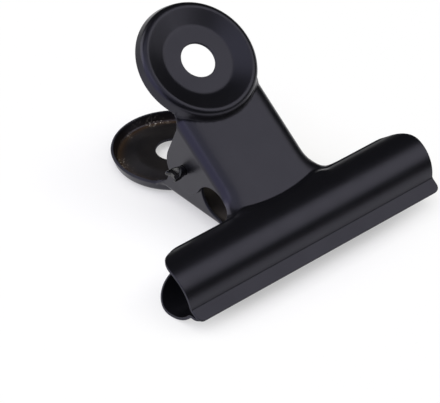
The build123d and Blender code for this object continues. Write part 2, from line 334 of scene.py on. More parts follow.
class Pressing:
    """One plate: the flat blank it is cut from, and where each point of the blank lands once pressed.

    The blank is measured across and along the sheet's outer skin. On the flat web, along counts from
    opposite the pin; towards the lip it follows the skin round the valley, the barrel and the crease.
    """

    def __init__(self, sizes, disc, seat, lean, half_width, own):
        self.sizes = sizes
        self.disc = disc
        self.seat = seat
        self.lean = lean
        self.own = own
        self.lay_section(own["lip_setback"])
        self.lay_disc()
        self.edge = self.valley + sizes.rear_edge
        self.nudge = sizes.sheet / 80
        around_valley = self.valley + np.array([-0.5, 0.5]) * sizes.rear_edge
        ends = np.array([np.interp(around_valley, self.run, line) for line in self.skin.T])
        self.rear_way = (ends[:, 1] - ends[:, 0]) / sizes.rear_edge
        reach, sink = self.bend(np.array([own["fold"]]), np.array([pi / 2]))
        self.straight = half_width - reach[0]
        self.ear_start = self.straight + own["fold"] - sink[0]

    def lay_section(self, setback):
        """Outer skin in side section, from the lip's tip to the disc."""
        sizes = self.sizes

        def leaned(p, q):
            cosine, sine = cos(self.lean), sin(self.lean)
            return Vector((p * cosine + q * sine, q * cosine - p * sine))

        way = Vector((cos(sizes.lip_angle), sin(sizes.lip_angle)))
        lip = Vector((-sizes.hinge_reach, sizes.lip_gap / 2 + sizes.sheet * cos(sizes.lip_angle)))
        crease = lip + way * (sizes.lip_depth / cos(sizes.lip_angle))
        barrel_q = sizes.barrel_crest - sizes.barrel_radius
        barrel_p = crease.x + sqrt(sizes.barrel_radius**2 - (crease.y - barrel_q) ** 2)
        tip = leaned(*(lip + way * (setback / cos(sizes.lip_angle))))
        barrel = leaned(barrel_p, barrel_q)
        web = Vector((0, self.seat.web_height))
        radius = sizes.barrel_radius
        fine = sizes.crease_radius / 12
        rounding, lip_end, barrel_start = nestle(
            tip, leaned(*way), barrel, radius, sizes.crease_radius, -1
        )
        hollow, web_start, barrel_end = nestle(
            web, Vector((1, 0)), barrel, radius, sizes.valley_radius, 1
        )
        points = [tip]
        points += arc(rounding, lip_end, barrel_start, fine)
        points += arc(barrel, barrel_start, barrel_end, fine)[1:]
        points += arc(hollow, barrel_end, web_start, fine)[1:]
        points.append(web + Vector((2 * self.seat.disc_reach, 0)))
        skin = np.array(points)
        run = np.concatenate([[0], np.cumsum(np.hypot(*np.diff(skin, axis=0).T))])
        self.run = run - run[-1] + skin[-1, 0]
        self.skin = skin
        self.height = skin[:, 0] * sin(self.lean) + skin[:, 1] * cos(self.lean)
        marks = (lip_end, barrel_start, barrel_end, web_start)
        stops = [np.argmin(np.hypot(*(skin - np.array(mark)).T)) for mark in marks]
        self.lip_end, self.barrel_start, self.barrel_end, self.web_start = self.run[stops]
        self.tip = self.run[0]
        meet = web.y - barrel.y
        self.valley = barrel.x + sqrt(radius**2 - meet**2)

    def lay_disc(self):
        """Height of the disc's outer skin over the web, by radius."""
        disc = self.disc
        bead = Vector((disc.bead_centre, disc.bead_rise - disc.bead_radius))
        flat = Vector((disc.flat_radius, 0))
        rim = Vector((disc.radius, -disc.skirt_drop))
        rise = graze(flat, bead, disc.bead_radius, -1)
        fall = graze(rim, bead, disc.bead_radius, 1)
        slope = (rise - flat).normalized()
        half_turn = atan2(slope.y, slope.x) / 2
        dish_start = flat - Vector((disc.dish_radius * tan(half_turn), 0))
        dish_end = flat + slope * (disc.dish_radius * tan(half_turn))
        dish = dish_start + Vector((0, disc.dish_radius))
        fine = disc.bead_radius / 24
        points = [Vector((0, 0))]
        points += arc(dish, dish_start, dish_end, fine)
        points += arc(bead, rise, fall, fine)
        points.append(rim)
        profile = np.array(points)
        self.disc_radii = profile[:, 0]
        self.disc_heights = profile[:, 1] + disc.flat_rise
        self.disc_stops = [dish_start.x, dish_end.x, rise.x, fall.x]

    def bow(self, width):
        """How far back the valley lies at a distance from the middle: it bows back towards the folds."""
        sizes = self.sizes
        fade = 1 - smooth_step(sizes.bow_end, sizes.bow_end + sizes.bow_fade, width)
        return (width**2 / (2 * sizes.valley_bow) - sizes.valley_lead) * fade

    def bow_felt(self, along):
        """Share of the bow that is felt along the blank: none on the barrel, all of it at the valley."""
        return smooth_step(self.valley - self.sizes.bow_reach, self.valley - self.sizes.rear_edge, along)

    def bend(self, side, fold):
        """How far sheet past the start of a fold reaches sideways and sinks, for folds of given angles."""
        bent = np.clip(side, 0, self.own["fold"])
        past = np.maximum(side - self.own["fold"], 0)
        places = (np.arange(BEND_SAMPLES) + 0.5) / BEND_SAMPLES
        turn = fold[:, None] * (bent[:, None] / self.own["fold"] * places) ** 2
        reach = np.minimum(side, 0) + bent * np.cos(turn).mean(axis=1) + past * np.cos(fold)
        sink = bent * np.sin(turn).mean(axis=1) + past * np.sin(fold)
        return reach, sink

    def press(self, blank):
        """Pressed places of blank points: across, along the web and out of it, from the pin's centre."""
        sizes, disc = self.sizes, self.disc
        across, along = np.asarray(blank).T
        width = np.abs(across)
        closed = np.clip((along - self.edge + sizes.fold_lead) / sizes.fold_run, 0, 1)
        flare_end = self.ear_start + self.own["fold_depth"] + sizes.flare_radius
        spread = sizes.flare_radius * FOLD_RELEASE
        beside = smooth_step(flare_end - spread, flare_end + spread, width)
        at_edge = 1 - smooth_step(self.edge, self.edge + sizes.flare_radius, along)
        fold = pi / 2 * np.sin(pi / 2 * closed) * (1 - beside * at_edge)
        reach, drop = self.bend(width - self.straight, fold)
        wide = self.straight + reach
        radius = np.hypot(across, along - self.seat.disc_reach)
        rise = np.interp(radius, self.disc_radii, self.disc_heights)
        corner = self.seat.disc_reach - disc.radius / 2
        held = 1 - smooth_step(corner - sizes.upper_fold / 2, corner, along)
        foot = (rise + np.sqrt(rise**2 + disc.foot_blend**2)) / 2
        rise = rise + (foot - rise) * held
        past_rim = smooth_step(disc.radius - disc.foot_blend, disc.radius + disc.foot_blend, radius)
        on_disc = 1 - past_rim * held
        on_disc = np.where(along < self.web_start, 0, on_disc)
        wide = wide + (width - wide) * on_disc
        drop = drop * (1 - on_disc) - rise * on_disc
        shift = self.bow(width) * self.bow_felt(along)
        # Beside the neck, the jaw's rear edge runs straight on and doesn't turn up out of the valley
        release = [flare_end - sizes.flare_radius * part for part in EDGE_RELEASE]
        loose = smooth_step(*release, width) * at_edge
        past = np.maximum(along - shift - self.valley, 0) * loose
        place = along - shift - past
        ahead = np.interp(place, self.run, self.skin[:, 0]) + shift + past * self.rear_way[0]
        out = np.interp(place, self.run, self.skin[:, 1]) + past * self.rear_way[1] - drop
        return np.column_stack([np.copysign(wide, across), ahead, out])

    def facing(self, blank):
        """Outward directions of the pressed skin at blank points."""
        right, ahead = np.array([self.nudge, 0]), np.array([0, self.nudge])
        over = self.press(blank + right) - self.press(blank - right)
        forth = self.press(blank + ahead) - self.press(blank - ahead)
        normals = np.cross(over, forth)
        return normals / np.linalg.norm(normals, axis=1, keepdims=True)

    def end(self, along):
        """Half length of the jaw at a place along the blank: its ends lean outwards."""
        height = np.interp(along, self.run, self.height)
        return self.sizes.jaw_length / 2 - self.own["end_setback"] + height * tan(self.sizes.end_lean)

    def ear_point(self, along, depth):
        """Blank point of a place on the upright ear, given along the web and down from its outer face."""
        return np.column_stack([self.ear_start + np.asarray(depth), np.asarray(along)])

    def half_outline(self):
        """Cut edge of the blank on its +X half, from the middle of the lip round to the top of the disc."""
        sizes, disc, seat = self.sizes, self.disc, self.seat
        step = sizes.mesh_step * EDGE_STEP
        corner, rear = sizes.lip_corner, self.own["rear_corner"]
        pieces = []
        lip = span(0, self.end(self.tip) - corner, sizes.mesh_step)
        pieces.append(np.column_stack([lip, np.full_like(lip, self.tip)]))
        turn = span(0, pi / 2, step / corner)
        along = self.tip + corner * (1 - np.cos(turn))
        pieces.append(np.column_stack([self.end(along) - corner * (1 - np.sin(turn)), along]))
        along = span(self.tip + corner, self.edge - rear, step)
        pieces.append(np.column_stack([self.end(along), along]))
        turn = span(0, pi / 2, step / rear)
        along = self.edge - rear * (1 - np.sin(turn))
        pieces.append(np.column_stack([self.end(along) - rear * (1 - np.cos(turn)), along]))
        flare = sizes.flare_radius
        fold_depth = self.own["fold_depth"]
        flare_mid = np.array([self.ear_start + fold_depth + flare, self.edge + flare])
        rear_line = span(self.end(self.edge) - rear, flare_mid[0], step)
        pieces.append(np.column_stack([rear_line, np.full_like(rear_line, self.edge)]))
        turn = span(pi / 2, 0, step / flare)
        pieces.append(flare_mid - flare * np.column_stack([np.cos(turn), np.sin(turn)]))
        sweep, lobe = sizes.ear_front_sweep, self.own["ear"]
        pin_depth = seat.web_height
        sweep_depth = fold_depth + sweep
        sweep_along = -sqrt((sweep + lobe) ** 2 - (pin_depth - sweep_depth) ** 2)
        sweep_stop = pi / 2 + asin((pin_depth - sweep_depth) / (sweep + lobe))
        turn = span(0, sweep_stop, step / sweep)
        front = sweep_along + sweep * np.sin(turn)
        pieces.append(self.ear_point(front, sweep_depth - sweep * np.cos(turn)))
        lean = sizes.ear_rear_lean
        turn = span(sweep_stop + pi / 2, lean, step / lobe)
        pieces.append(self.ear_point(lobe * np.cos(turn), pin_depth + lobe * np.sin(turn)))
        depth = span(pin_depth + lobe * sin(lean), sizes.ear_rear_depth, step)
        rear_edge = self.ear_point(lobe / cos(lean) + (pin_depth - depth) * tan(lean), depth)
        turn = span(RIM_START, 0, step / disc.radius)
        rim = np.array([0, seat.disc_reach]) + disc.radius * np.column_stack([np.sin(turn), np.cos(turn)])
        rear_way = Vector(rear_edge[-1] - rear_edge[-2])
        rim_way = Vector((-cos(RIM_START), sin(RIM_START)))
        rear_end, rim_end = Vector(rear_edge[-1]), Vector(rim[0])
        rear_sweep = ease(rear_end, rear_way, rim_end, rim_way, sizes.ear_rear_sweep, 12)
        pieces += [rear_edge, rear_sweep, rim]
        line = np.concatenate(pieces)
        apart = np.hypot(*np.diff(line, axis=0).T)
        return line[np.concatenate([[True], apart > step / 8])]

    def cut_edges(self):
        """Closed loops of the blank: its outline, the hanging hole and the two pin holes."""
        half = self.half_outline()
        outline = np.concatenate([half, half[-2:0:-1] * (-1, 1)])
        loops = [outline]
        pin_place = self.ear_point([0], [self.seat.web_height])[0]
        holes = [(np.array([0, self.seat.disc_reach]), HOLE_RADIUS - self.disc.hole_paint)]
        holes += [(pin_place * (side, 1), self.sizes.pin_hole_radius) for side in (1, -1)]
        for centre, radius in holes:
            count = 2 * ceil(pi * radius / self.sizes.mesh_step * HOLE_FINENESS)
            turn = np.linspace(0, 2 * pi, count, endpoint=False)
            loops.append(centre + radius * np.column_stack([np.cos(turn), -np.sin(turn)]))
        return loops

    def inset(self, loop):
        """The same loop moved into the sheet by the rounding of its edge, measured on the pressed skin."""
        ahead = np.roll(loop, -1, axis=0) - np.roll(loop, 1, axis=0)
        inward = np.column_stack([-ahead[:, 1], ahead[:, 0]])
        inward /= np.linalg.norm(inward, axis=1, keepdims=True)
        moved = self.press(loop + inward * self.nudge) - self.press(loop)
        stretch = np.linalg.norm(moved, axis=1) / self.nudge
        return loop + inward * (self.sizes.edge_round / np.maximum(stretch, 1))[:, None]

    def mesh_lines(self):
        """Rows of points that the mesh follows: across the jaw, over the handle and round the disc."""
        sizes, disc, seat = self.sizes, self.disc, self.seat
        step = sizes.mesh_step
        bends = np.unique(np.concatenate([
            span(self.tip, self.lip_end, step),
            span(self.lip_end, self.barrel_start, step / 4),
            span(self.barrel_start, self.barrel_end, step),
            span(self.barrel_end, self.web_start, step / 4),
        ]))
        across = span(-sizes.jaw_length / 2, sizes.jaw_length / 2, step)
        bow = self.bow(np.abs(across))
        lines = []
        for along, felt in zip(bends, self.bow_felt(bends)):
            lines.append((np.column_stack([across, along + bow * felt]), False))
        fold_end = self.straight + self.own["fold"]
        far = self.ear_start + seat.web_height + self.own["ear"]
        half = np.concatenate([
            span(0, self.straight, step)[1:],
            span(self.straight, fold_end, step / 1.5)[1:],
            span(fold_end, far, step)[1:],
        ])
        columns = np.concatenate([-half[::-1], [0], half])
        web_start = self.web_start + np.maximum(self.bow(np.abs(columns)), 0) + step / 3
        clear = disc.radius + step / 2
        for along in span(self.web_start - sizes.valley_lead, seat.disc_reach, step)[1:]:
            row = np.column_stack([columns, np.full_like(columns, along)])
            row[(along < web_start) | (np.hypot(columns, along - seat.disc_reach) < clear)] = np.nan
            lines.append((row, False))
        dish_start, dish_end, rise, fall = self.disc_stops
        radii = np.unique(np.concatenate([
            span(HOLE_RADIUS - disc.hole_paint, dish_start, step),
            span(dish_start, dish_end, step / 2),
            span(dish_end, rise, step),
            span(rise, disc.bead_centre, step / 2),
            span(disc.bead_centre, fall, step / 4),
            span(fall, disc.radius, step / 5),
        ]))
        turn = np.linspace(0, 2 * pi, 2 * ceil(pi * disc.bead_centre / step), endpoint=False)
        for radius in radii[1:]:
            ring = np.column_stack([np.sin(turn), np.cos(turn)])
            lines.append((np.array([0, seat.disc_reach]) + radius * ring, True))
        return lines

    def blank_mesh(self):
        """Triangles over the blank, its points and, for each cut edge, the places of its points."""
        loops = self.cut_edges()
        inner_loops = [self.inset(loop) for loop in loops]
        tree = KDTree(sum(len(loop) for loop in loops))
        for place, point in enumerate(np.concatenate(inner_loops)):
            tree.insert((*point, 0), place)
        tree.balance()
        points = []
        edges = []
        for loop in inner_loops:
            first = len(points)
            points += list(loop)
            edges += [(first + place, first + (place + 1) % len(loop)) for place in range(len(loop))]
        margin = self.sizes.mesh_step * EDGE_CLEARANCE
        for line, closed in self.mesh_lines():
            kept = inside_loop(line, inner_loops[0])
            for hole in inner_loops[1:]:
                kept &= ~inside_loop(line, hole)
            kept[kept] = [tree.find((*point, 0))[2] > margin for point in line[kept]]
            numbers = np.full(len(line), -1)
            numbers[kept] = len(points) + np.arange(kept.sum())
            points += list(line[kept])
            ends = np.roll(numbers, -1) if closed else np.append(numbers[1:], -1)
            edges += [(int(a), int(b)) for a, b in zip(numbers, ends) if a >= 0 and b >= 0]
        flat = [Vector(point / MM) for point in points]
        found, _, faces, sources, _, _ = delaunay_2d_cdt(flat, edges, [], 0, 1e-6)
        blank = np.array(found) * MM
        middles = blank[np.array(faces)].mean(axis=1)
        kept = inside_loop(middles, inner_loops[0])
        for hole in inner_loops[1:]:
            kept &= ~inside_loop(middles, hole)
        place_of = {source: place for place, listed in enumerate(sources) for source in listed}
        rims = []
        first = 0
        for loop in loops:
            rims.append((loop, [place_of[first + place] for place in range(len(loop))]))
            first += len(loop)
        return blank, [tuple(face) for face, keep in zip(faces, kept) if keep], rims

    def mesh(self, name):
        """The plate as a closed mesh: outer and inner skin, and rounded cut edges."""
        sheet, rounding = self.sizes.sheet, self.sizes.edge_round
        blank, faces, rims = self.blank_mesh()
        count = len(blank)
        outer = self.press(blank)
        normals = self.facing(blank)
        points = [outer, outer - normals * sheet]
        facings = [normals, -normals]
        worn = [np.zeros(2 * count)]
        polygons = faces + [tuple(count + place for place in reversed(face)) for face in faces]
        first = 2 * count
        for loop, places in rims:
            size = len(loop)
            edge = self.press(loop)
            square = self.facing(loop)
            outward = edge - outer[places]
            outward /= np.linalg.norm(outward, axis=1, keepdims=True)
            points += [edge - square * rounding, edge - square * (sheet - rounding)]
            facings += [outward, outward]
            worn.append(np.ones(2 * size))
            added = np.arange(first, first + 2 * size).tolist()
            rows = [places, added[:size], added[size:], [place + count for place in places]]
            for upper, lower in zip(rows, rows[1:]):
                for place in range(size):
                    polygons.append((upper[place - 1], lower[place - 1], lower[place], upper[place]))
            first += 2 * size
        axes = Matrix((ACROSS, self.seat.along, self.seat.out))
        if axes.determinant() < 0:
            polygons = [tuple(reversed(polygon)) for polygon in polygons]
        mesh = bpy.data.meshes.new(name)
        mesh.from_pydata(self.seat.placed(np.concatenate(points)).tolist(), [], polygons)
        mesh.shade_smooth()
        mesh.normals_split_custom_set_from_vertices((np.concatenate(facings) @ np.array(axes)).tolist())
        radius = np.hypot(blank[:, 0], blank[:, 1] - self.seat.disc_reach)
        depth = np.exp(-(((radius - self.disc.bead_centre) / self.disc.bead_radius * 1.4) ** 2))
        # Dust settles on the inside of the flat web, ahead of the pin and between the folds
        between = 1 - smooth_step(self.straight, self.ear_start, np.abs(blank[:, 0]))
        behind = smooth_step(self.edge, self.edge + self.sizes.flare_radius, blank[:, 1])
        ahead = 1 - smooth_step(0, self.own["ear"], blank[:, 1])
        # Inside the dished disc, a small share of the same colour is painted reflection that lightens its
        # inner face
        dust_and_painted_reflection = np.maximum(between * behind * ahead, DISC_PAINTED_REFLECTION * (radius < self.disc.bead_centre))
        outside, rim = np.zeros(count), np.zeros(first - 2 * count)
        for mark, values in (
            ("edge_wear", worn),
            ("groove", [outside, depth, rim]),
            ("inside", [outside, dust_and_painted_reflection, rim]),
        ):
            attribute = mesh.attributes.new(mark, "FLOAT", "POINT")
            attribute.data.foreach_set("value", np.concatenate(values))
        return mesh


def bare_material(name):
    """A new material with an empty node tree."""
    material = bpy.data.materials.new(name)
    material.use_nodes = True
    material.node_tree.nodes.clear()
    return material, material.node_tree


def enamel_material(finish):
    """Stoved black enamel on pressed steel: sprayed semi-matte, with a fine orange peel in its sheen.

    The paint pulls thin on the cut edges, which show as fine pale lines, and inside the beads, where it
    is brownish and holds pale specks.
    """
    material, tree = bare_material("Stoved black enamel on pressed steel")
    place = add(tree, "ShaderNodeTexCoord").outputs["Object"]
    # Orange peel, mottle and specks by size; real peel is about 0.2 mm across, drawn coarser to show
    peel, mottle, specks = [
        add(
            tree, "ShaderNodeTexNoise",
            {"Vector": place, "Scale": 1 / size, "Detail": detail},
        ).outputs["Fac"]
        for size, detail in ((0.5 * MM, 2), (6 * MM, 4), (0.45 * MM, 1))
    ]
    edge, groove, inside = [
        add(tree, "ShaderNodeAttribute", attribute_name=name).outputs["Fac"]
        for name in ("edge_wear", "groove", "inside")
    ]
    # Mottle wears the paint unevenly, and gathers the specks into clusters
    worn, specked, clustered = [
        add(
            tree, "ShaderNodeMapRange",
            {"Value": pattern, "From Min": low, "From Max": high, "To Min": least},
        ).outputs["Result"]
        for pattern, low, high, least in (
            (mottle, 0.3, 0.7, 0.35), (specks, 0.56, 0.66, 0), (mottle, 0.47, 0.57, 0)
        )
    ]
    thinned, dust_and_painted_reflection, pale_flecks = [
        add(tree, "ShaderNodeMath", {0: one, 1: other}, operation="MULTIPLY").outputs["Value"]
        for one, other in ((edge, worn), (inside, worn), (specked, clustered))
    ]
    # Pale flecks only in the bead grooves
    pale_flecks = add(tree, "ShaderNodeMath", {0: groove, 1: pale_flecks}, operation="MULTIPLY").outputs["Value"]
    paint = linear(finish.enamel)
    for part, code in (
        (thinned, finish.thin_enamel),
        # Inner web colour, which inside the dished discs is painted reflection
        (dust_and_painted_reflection, finish.inside),
        (groove, finish.groove),
        (pale_flecks, finish.pale_fleck),
    ):
        mix = add(tree, "ShaderNodeMix", {"Factor": part, 6: paint, 7: linear(code)}, data_type="RGBA")
        paint = mix.outputs[2]
    smooth = add(tree, "ShaderNodeMapRange", {"Value": mottle, "To Min": 0.25, "To Max": 0.36})
    # Paint on the sheared edges is rough, so they stay dull
    sheared = add(tree, "ShaderNodeMapRange", {"Value": edge, "To Max": 0.7})
    rough = add(
        tree, "ShaderNodeMath",
        {0: smooth.outputs["Result"], 1: sheared.outputs["Result"]},
        operation="MAXIMUM",
    ).outputs["Value"]
    bump = add(tree, "ShaderNodeBump", {"Height": peel, "Strength": 0.12, "Distance": 0.02 * MM})
    shader = add(
        tree, "ShaderNodeBsdfPrincipled",
        {
            "Base Color": paint,
            "Roughness": rough,
            "IOR": 1.5,
            "Specular Tint": linear(finish.sheen),
            "Normal": bump.outputs["Normal"],
        },
    )
    add(tree, "ShaderNodeOutputMaterial", {"Surface": shader.outputs["BSDF"]})
    return material


def pin_material(finish):
    """Black enamelled wire: glossier than the plates, with fine scuffs in its gloss all over."""
    scuff_size = 0.6 * MM
    material, tree = bare_material("Black enamelled wire")
    place = add(tree, "ShaderNodeTexCoord").outputs["Object"]
    scuffs = add(tree, "ShaderNodeTexNoise", {"Vector": place, "Scale": 1 / scuff_size, "Detail": 3})
    scuff = scuffs.outputs["Fac"]
    rough = add(tree, "ShaderNodeMapRange", {"Value": scuff, "To Min": 0.14, "To Max": 0.3})
    bump = add(tree, "ShaderNodeBump", {"Height": scuff, "Strength": 0.15, "Distance": 0.02 * MM})
    shader = add(
        tree, "ShaderNodeBsdfPrincipled",
        {
            "Base Color": linear(finish.pin),
            "Roughness": rough.outputs["Result"],
            "IOR": 1.6,
            "Normal": bump.outputs["Normal"],
        },
    )
    add(tree, "ShaderNodeOutputMaterial", {"Surface": shader.outputs["BSDF"]})
    return material


def spring_material(finish):
    """Drawn spring steel, oiled: grey metal with fine lines along the wire and brown oil in patches."""
    line_width, patch_size, girth = 0.12 * MM, 2.5 * MM, 1.5 * MM * pi
    material, tree = bare_material("Drawn spring steel, oiled")
    place = add(tree, "ShaderNodeTexCoord").outputs["Object"]
    patches = add(tree, "ShaderNodeTexNoise", {"Vector": place, "Scale": 1 / patch_size, "Detail": 3})
    patch = patches.outputs["Fac"]
    around, along = [
        add(tree, "ShaderNodeAttribute", attribute_name=name).outputs["Fac"] for name in ("around", "along")
    ]
    drawn = add(tree, "ShaderNodeCombineXYZ", {"X": around, "Y": along})
    # Draw lines are finer than this on real wire; they are drawn coarser so that they show
    lines = add(
        tree, "ShaderNodeTexNoise",
        {"Vector": drawn.outputs["Vector"], "Scale": girth / line_width},
    ).outputs["Fac"]
    oiled = add(
        tree, "ShaderNodeMapRange",
        {"Value": patch, "From Min": 0.45, "From Max": 0.7, "To Max": 0.8},
    )
    colour_mix = add(
        tree, "ShaderNodeMix",
        {"Factor": oiled.outputs["Result"], 6: linear(finish.spring), 7: linear(finish.spring_oil)},
        data_type="RGBA",
    )
    rough = add(tree, "ShaderNodeMapRange", {"Value": lines, "To Min": 0.25, "To Max": 0.5})
    bump = add(tree, "ShaderNodeBump", {"Height": lines, "Strength": 0.15, "Distance": 0.02 * MM})
    shader = add(
        tree, "ShaderNodeBsdfPrincipled",
        {
            "Base Color": colour_mix.outputs[2],
            "Metallic": 1.0,
            "Roughness": rough.outputs["Result"],
            "Normal": bump.outputs["Normal"],
        },
    )
    add(tree, "ShaderNodeOutputMaterial", {"Surface": shader.outputs["BSDF"]})
    return material


def floor_material(finish):
    """Pale matte paper: white to the eye and in reflections, with the clip's soft shadow kept."""
    shadow_reach, open_reach = 36 * MM, 62 * MM
    near_share, open_share = 0.45, 0.95
    material, tree = bare_material("Pale matte paper")
    path = add(tree, "ShaderNodeLightPath").outputs
    seen = path["Is Camera Ray"]
    for ray in ("Is Glossy Ray", "Is Transmission Ray"):
        seen = add(tree, "ShaderNodeMath", {0: seen, 1: path[ray]}, operation="MAXIMUM").outputs[0]
    # Near the clip the paper keeps its shadow; further off, it turns as white as the photograph's ground
    spot = add(tree, "ShaderNodeTexCoord").outputs["Object"]
    away = add(tree, "ShaderNodeVectorMath", {0: spot}, operation="LENGTH").outputs["Value"]
    share_here = add(
        tree, "ShaderNodeMapRange",
        {
            "Value": away,
            "From Min": shadow_reach,
            "From Max": open_reach,
            "To Min": near_share,
            "To Max": open_share,
        },
        interpolation_type="SMOOTHSTEP",
    ).outputs["Result"]
    white_share = add(tree, "ShaderNodeMath", {0: seen, 1: share_here}, operation="MULTIPLY")
    paper = add(tree, "ShaderNodeBsdfDiffuse", {"Color": linear(finish.floor)})
    white = add(tree, "ShaderNodeEmission", {"Color": linear(finish.glow), "Strength": 1.0})
    mix = add(
        tree, "ShaderNodeMixShader",
        {0: white_share.outputs[0], 1: paper.outputs["BSDF"], 2: white.outputs["Emission"]},
    )
    add(tree, "ShaderNodeOutputMaterial", {"Surface": mix.outputs["Shader"]})
    return material


def new_piece(name, mesh, material, node):
    """Adds a finished mesh to the scene as the piece that stands for a packed node."""
    piece = bpy.data.objects.new(name, mesh)
    bpy.context.scene.collection.objects.link(piece)
    mesh.materials.clear()
    mesh.materials.append(material)
    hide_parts(node)
    return piece


def seats(scene):
    """Seats of the upper and the lower plate, and the lean of their webs."""
    sizes, disc = scene.clip_plates, scene.clip_discs
    upper = Seat(HOLES["upper_hanging_hole"], sizes, disc)
    lower = Seat(HOLES["lower_hanging_hole"], sizes, disc)
    return upper, lower, web_lean(upper, lower)


def lip_axes(upper, lower):
    """Directions along and square to the plane where the lips meet."""
    return (upper.along + lower.along).normalized(), (upper.out - lower.out).normalized()


class CLIP_OT_make_plates(bpy.types.Operator):
    """Presses the upper and the lower plate from their flat blanks"""

    bl_idname = "clip.make_plates"
    bl_label = "Make plates"

    def execute(self, context):
        sizes, disc = context.scene.clip_plates, context.scene.clip_discs
        upper, lower, lean = seats(context.scene)
        material = enamel_material(context.scene.clip_finish)
        upper_half = sizes.neck_width / 2
        lower_half = upper_half - sizes.sheet - sizes.ear_gap
        for body, seat, half, setback in (
            ("upper", upper, upper_half, 0), ("lower", lower, lower_half, 1)
        ):
            own = {
                key: getattr(sizes, f"{body}_{key}") for key in ("rear_corner", "fold", "fold_depth", "ear")
            }
            own["lip_setback"] = sizes.lip_setback * setback
            own["end_setback"] = sizes.end_setback * setback
            name = f"{body}_plate_pressing"
            mesh = Pressing(sizes, disc, seat, lean, half, own).mesh(name)
            piece = new_piece(name, mesh, material, f"{body}_plate")
            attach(piece, body)
        return {"FINISHED"}


def pin_rings(sizes, half_shank):
    """Stations along half of the pin: place, half width, half thickness, squareness and how notched."""
    root = sizes.tail_length - sizes.notch_depth
    ear_face = half_shank - sizes.end_play
    places = np.append(np.linspace(0, ear_face, 5)[:-1], np.linspace(ear_face, half_shank, 9))
    swells = sizes.radius + sizes.swell * smooth_step(ear_face + sizes.end_play / 4, half_shank, places)
    rings = [(place, radius, radius, 2.0, 0.0) for place, radius in zip(places, swells)]
    swollen = sizes.radius + sizes.swell
    for share_in in np.linspace(0, 1, 9)[1:]:
        eased = float(smooth_step(0, 1, share_in))
        wide = swollen + (sizes.tail_width / 2 - swollen) * eased
        thick = swollen + (sizes.tail_thickness / 2 - swollen) * eased
        rings.append((half_shank + root * share_in, wide, thick, 2 + 3 * eased, 0.0))
    bevel = sizes.tail_thickness / 6
    wide, thick = sizes.tail_width / 2, sizes.tail_thickness / 2
    tip = half_shank + sizes.tail_length
    rings.append((tip - bevel, wide, thick, 5.0, 1.0))
    rings.append((tip, wide - bevel, thick - bevel, 4.0, 1.0))
    return rings


def pin_mesh(sizes, half_shank, along, square):
    """The pin as rings round a wire that ends in notched fishtails."""
    half = pin_rings(sizes, half_shank)
    rings = [(-1, ring) for ring in reversed(half[1:])] + [(1, ring) for ring in half]
    sides = PIN_SIDES
    points = []
    for way, (place, wide, thick, square_power, notched) in rings:
        for side in range(sides):
            turn = 2 * pi * (side + 0.5) / sides
            power = 2 / square_power
            y = wide * np.sign(cos(turn)) * abs(cos(turn)) ** power
            z = thick * np.sign(sin(turn)) * abs(sin(turn)) ** power
            nick = sizes.notch_depth * max(0, 1 - abs(y) / (sizes.notch_width / 2)) * notched
            points.append(PIN + ACROSS * (way * (place - nick)) + along * y + square * z)
    faces = []
    for ring in range(len(rings) - 1):
        for side in range(sides):
            near, far = ring * sides + side, ring * sides + (side + 1) % sides
            faces.append((near, far, far + sides, near + sides))
    last = (len(rings) - 1) * sides
    for side in range(sides // 2 - 1):
        low = (side, sides - 1 - side, sides - 2 - side, side + 1)
        faces.append(low)
        faces.append(tuple(last + place for place in reversed(low)))
    mesh = bpy.data.meshes.new("hinge_pin_wire")
    mesh.from_pydata(points, [], faces)
    mesh.shade_smooth()
    mesh.set_sharp_from_angle(angle=PIN_SHARP_ANGLE)
    return mesh


class CLIP_OT_make_pin(bpy.types.Operator):
    """Makes the hinge pin with its pinched ends"""

    bl_idname = "clip.make_pin"
    bl_label = "Make pin"

    def execute(self, context):
        sizes = context.scene.clip_pin
        upper, lower, _ = seats(context.scene)
        half_shank = context.scene.clip_plates.neck_width / 2 + sizes.end_play
        turn = Matrix.Rotation(sizes.tail_turn, 3, -ACROSS)
        mesh = pin_mesh(sizes, half_shank, *(turn @ axis for axis in lip_axes(upper, lower)))
        material = pin_material(context.scene.clip_finish)
        piece = new_piece("hinge_pin_wire", mesh, material, "hinge_pin")
        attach(piece, "lower")
        return {"FINISHED"}


def round_corner(start, bend, end, radius, step):
    """Points of an arc that rounds the corner at a bend between two straight runs."""
    before, after = (start - bend).normalized(), (end - bend).normalized()
    half = before.angle(after) / 2
    centre = bend + (before + after).normalized() * (radius / sin(half))
    first, last = bend + before * (radius / tan(half)), bend + after * (radius / tan(half))
    turn = pi - 2 * half
    count = max(3, ceil(turn * radius / step))
    return [
        centre + (first - centre).slerp(last - centre, place / count) * radius for place in range(count + 1)
    ]


def spring_path(sizes, plates, upper, lower, ear_inside):
    """Middle line of the spring wire: lower foot and leg, the turns, upper leg and foot."""
    along, square = lip_axes(upper, lower)
    side = ear_inside - sizes.side_gap - sizes.wire / 2
    foot_out = upper.web_height - plates.sheet - sizes.foot_gap - sizes.wire / 2

    def leg(seat, way):
        bend = PIN + ACROSS * (way * side) + seat.along * sizes.foot_reach + seat.out * foot_out
        return bend, bend + seat.along * sizes.foot_length

    bend, foot = leg(upper, 1)
    low_bend, low_foot = leg(lower, -1)
    reach = bend - PIN - ACROSS * side
    leave = atan2(reach.dot(square), reach.dot(along)) + acos(sizes.coil_radius / reach.length)
    turned = 2 * pi * sizes.turns + 2 * (pi - leave)
    steps = COIL_STEPS * sizes.turns
    coil = []
    for step in range(steps + 1):
        turn = 2 * pi - leave - turned * step / steps
        round_pin = (along * cos(turn) + square * sin(turn)) * sizes.coil_radius
        coil.append(PIN + ACROSS * (-side + 2 * side * step / steps) + round_pin)
    fine = sizes.wire / 4
    low = [low_foot] + round_corner(low_foot, low_bend, coil[0], sizes.foot_bend, fine)
    high = round_corner(coil[-1], bend, foot, sizes.foot_bend, fine) + [foot]
    return low + coil + high


